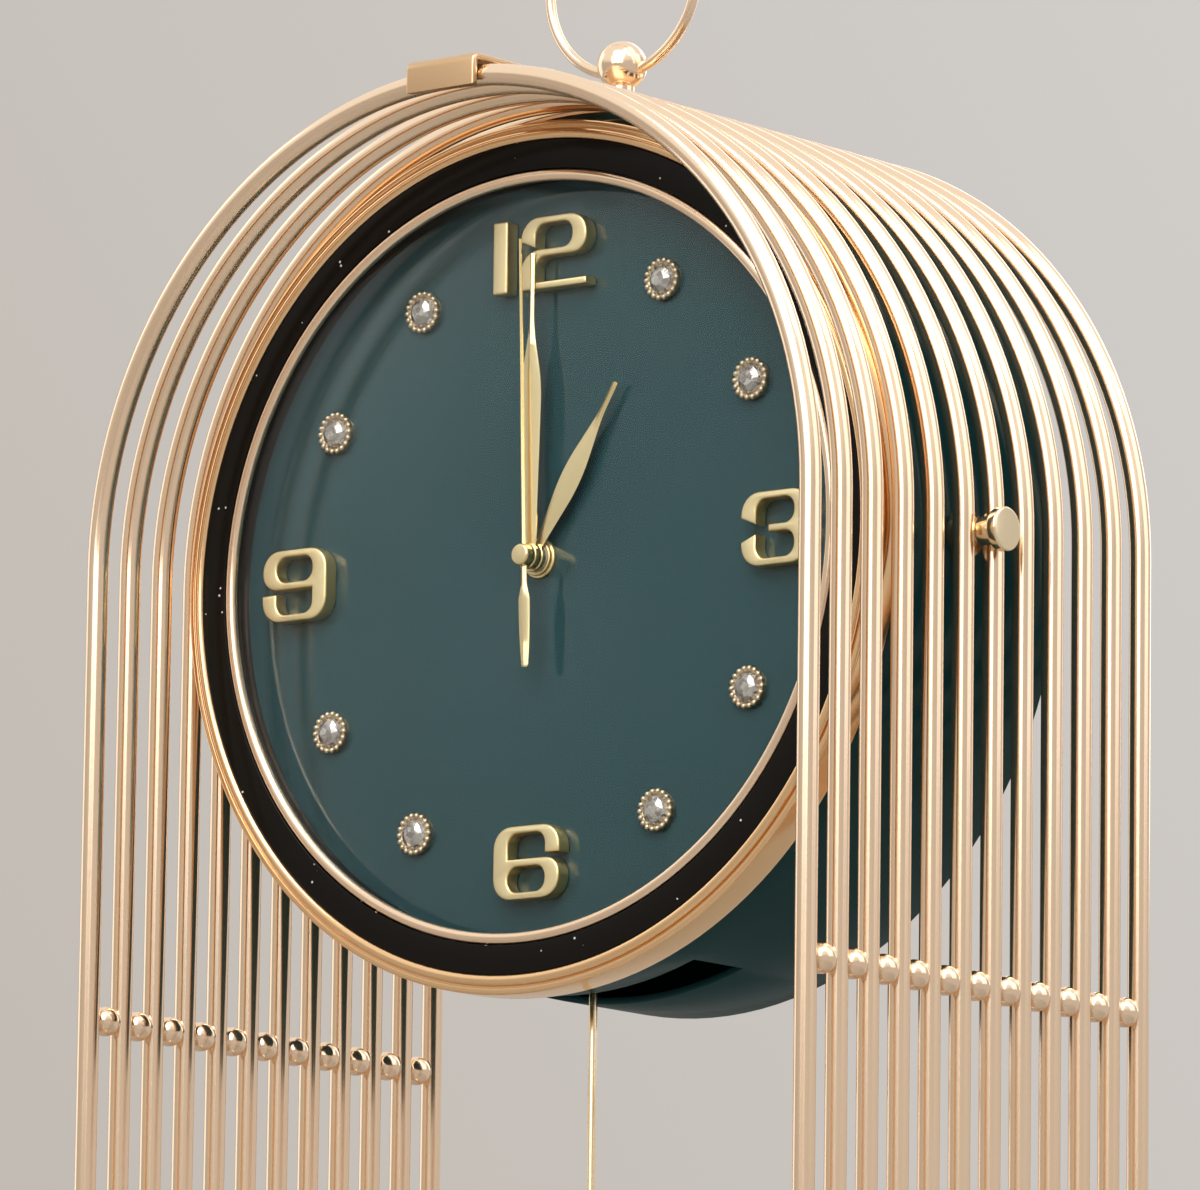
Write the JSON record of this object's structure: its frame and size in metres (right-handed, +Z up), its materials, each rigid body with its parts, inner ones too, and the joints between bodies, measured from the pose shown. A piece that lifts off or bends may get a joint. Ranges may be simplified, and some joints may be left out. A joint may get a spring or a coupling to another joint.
{
  "type": "floor clock",
  "caption": "Tall floor clock: a cage of bent gilt rods on a stone plinth carries a round drum with a glazed dial, and a pendulum hangs below the drum inside the cage.",
  "frame": {"origin": "on the floor, under the centre of the plinth", "axes": "+Z up, the dial faces -Y, +X to the right of someone who reads the dial"},
  "size_m": [0.3208, 0.2206, 1.2997],
  "materials": {
    "gilt": "polished pale gold plating",
    "steel": "zinc plated",
    "green_lacquer": "gloss dark green lacquer",
    "dial_lacquer": "satin teal green lacquer",
    "black_lacquer": "gloss black with fine glitter",
    "glass": "clear polished",
    "plastic": "moulded",
    "battery_foil": "plain printed foil",
    "dark_stone": "polished dark green stone",
    "rubber": "matt"
  },
  "bodies": {
    "clock_frame": {"arch_01": "gilt", "arch_02": "gilt", "arch_03": "gilt", "arch_04": "gilt", "arch_05": "gilt", "arch_06": "gilt", "arch_07": "gilt", "arch_08": "gilt", "arch_09": "gilt", "arch_10": "gilt", "arch_11": "gilt", "arch_12": "gilt", "top_strap": "gilt", "finial_ball": "gilt", "finial_nut": "steel", "hanging_ring": "gilt", "drum_shell": "green_lacquer", "rear_cover": "green_lacquer", "bezel": "gilt", "black_ring": "black_lacquer", "inner_ring": "gilt", "glass": "glass", "dial_spacer": "black_lacquer", "dial": "dial_lacquer", "numeral_12_one": "gilt", "numeral_12_two": "gilt", "numeral_3": "gilt", "numeral_6": "gilt", "numeral_9": "gilt", "jewel_01": "gilt", "jewel_02": "gilt", "jewel_04": "gilt", "jewel_05": "gilt", "jewel_07": "gilt", "jewel_08": "gilt", "jewel_10": "gilt", "jewel_11": "gilt", "movement_case": "plastic", "dial_nut": "gilt", "battery": "battery_foil", "side_bolt_left": "gilt", "side_bolt_right": "gilt", "side_bush_left": "gilt", "side_bush_right": "gilt", "side_nut_left": "steel", "side_nut_right": "steel", "base_plate": "gilt", "plinth": "dark_stone", "foot_front_left": "rubber", "foot_front_right": "rubber", "foot_back_left": "rubber", "foot_back_right": "rubber"},
    "hour_wheel": {"hour_hand": "gilt"},
    "minute_wheel": {"minute_hand": "gilt"},
    "second_wheel": {"second_hand": "gilt"},
    "setting_wheel": {"setting_knob": "plastic"},
    "pendulum": {"pendulum_hanger": "plastic", "pendulum_rod": "gilt", "pendulum_bob": "gilt", "bob_nut": "gilt"}
  },
  "joints": [
    {"name": "minute_hand_turn", "type": "hinge", "parent": "clock_frame", "child": "minute_wheel", "pos_m": [0, 0, 1.105], "axis": [0, 1, 0], "continuous": true},
    {"name": "hour_hand_turn", "type": "hinge", "parent": "clock_frame", "child": "hour_wheel", "pos_m": [0, 0, 1.105], "axis": [0, 1, 0], "continuous": true},
    {"name": "second_hand_turn", "type": "hinge", "parent": "clock_frame", "child": "second_wheel", "pos_m": [0, 0, 1.105], "axis": [0, 1, 0], "continuous": true},
    {"name": "setting_knob_turn", "type": "hinge", "parent": "clock_frame", "child": "setting_wheel", "pos_m": [0, 0, 1.105], "axis": [0, 1, 0], "continuous": true},
    {"name": "pendulum_swing", "type": "hinge", "parent": "clock_frame", "child": "pendulum", "pos_m": [0, -0.0073, 1.083], "axis": [0, 1, 0], "range_deg": [-6, 6]}
  ],
  "couplings": [
    {"joint": "hour_hand_turn", "follows": "minute_hand_turn", "ratio": 0.083333},
    {"joint": "setting_knob_turn", "follows": "minute_hand_turn", "ratio": 1}
  ]
}
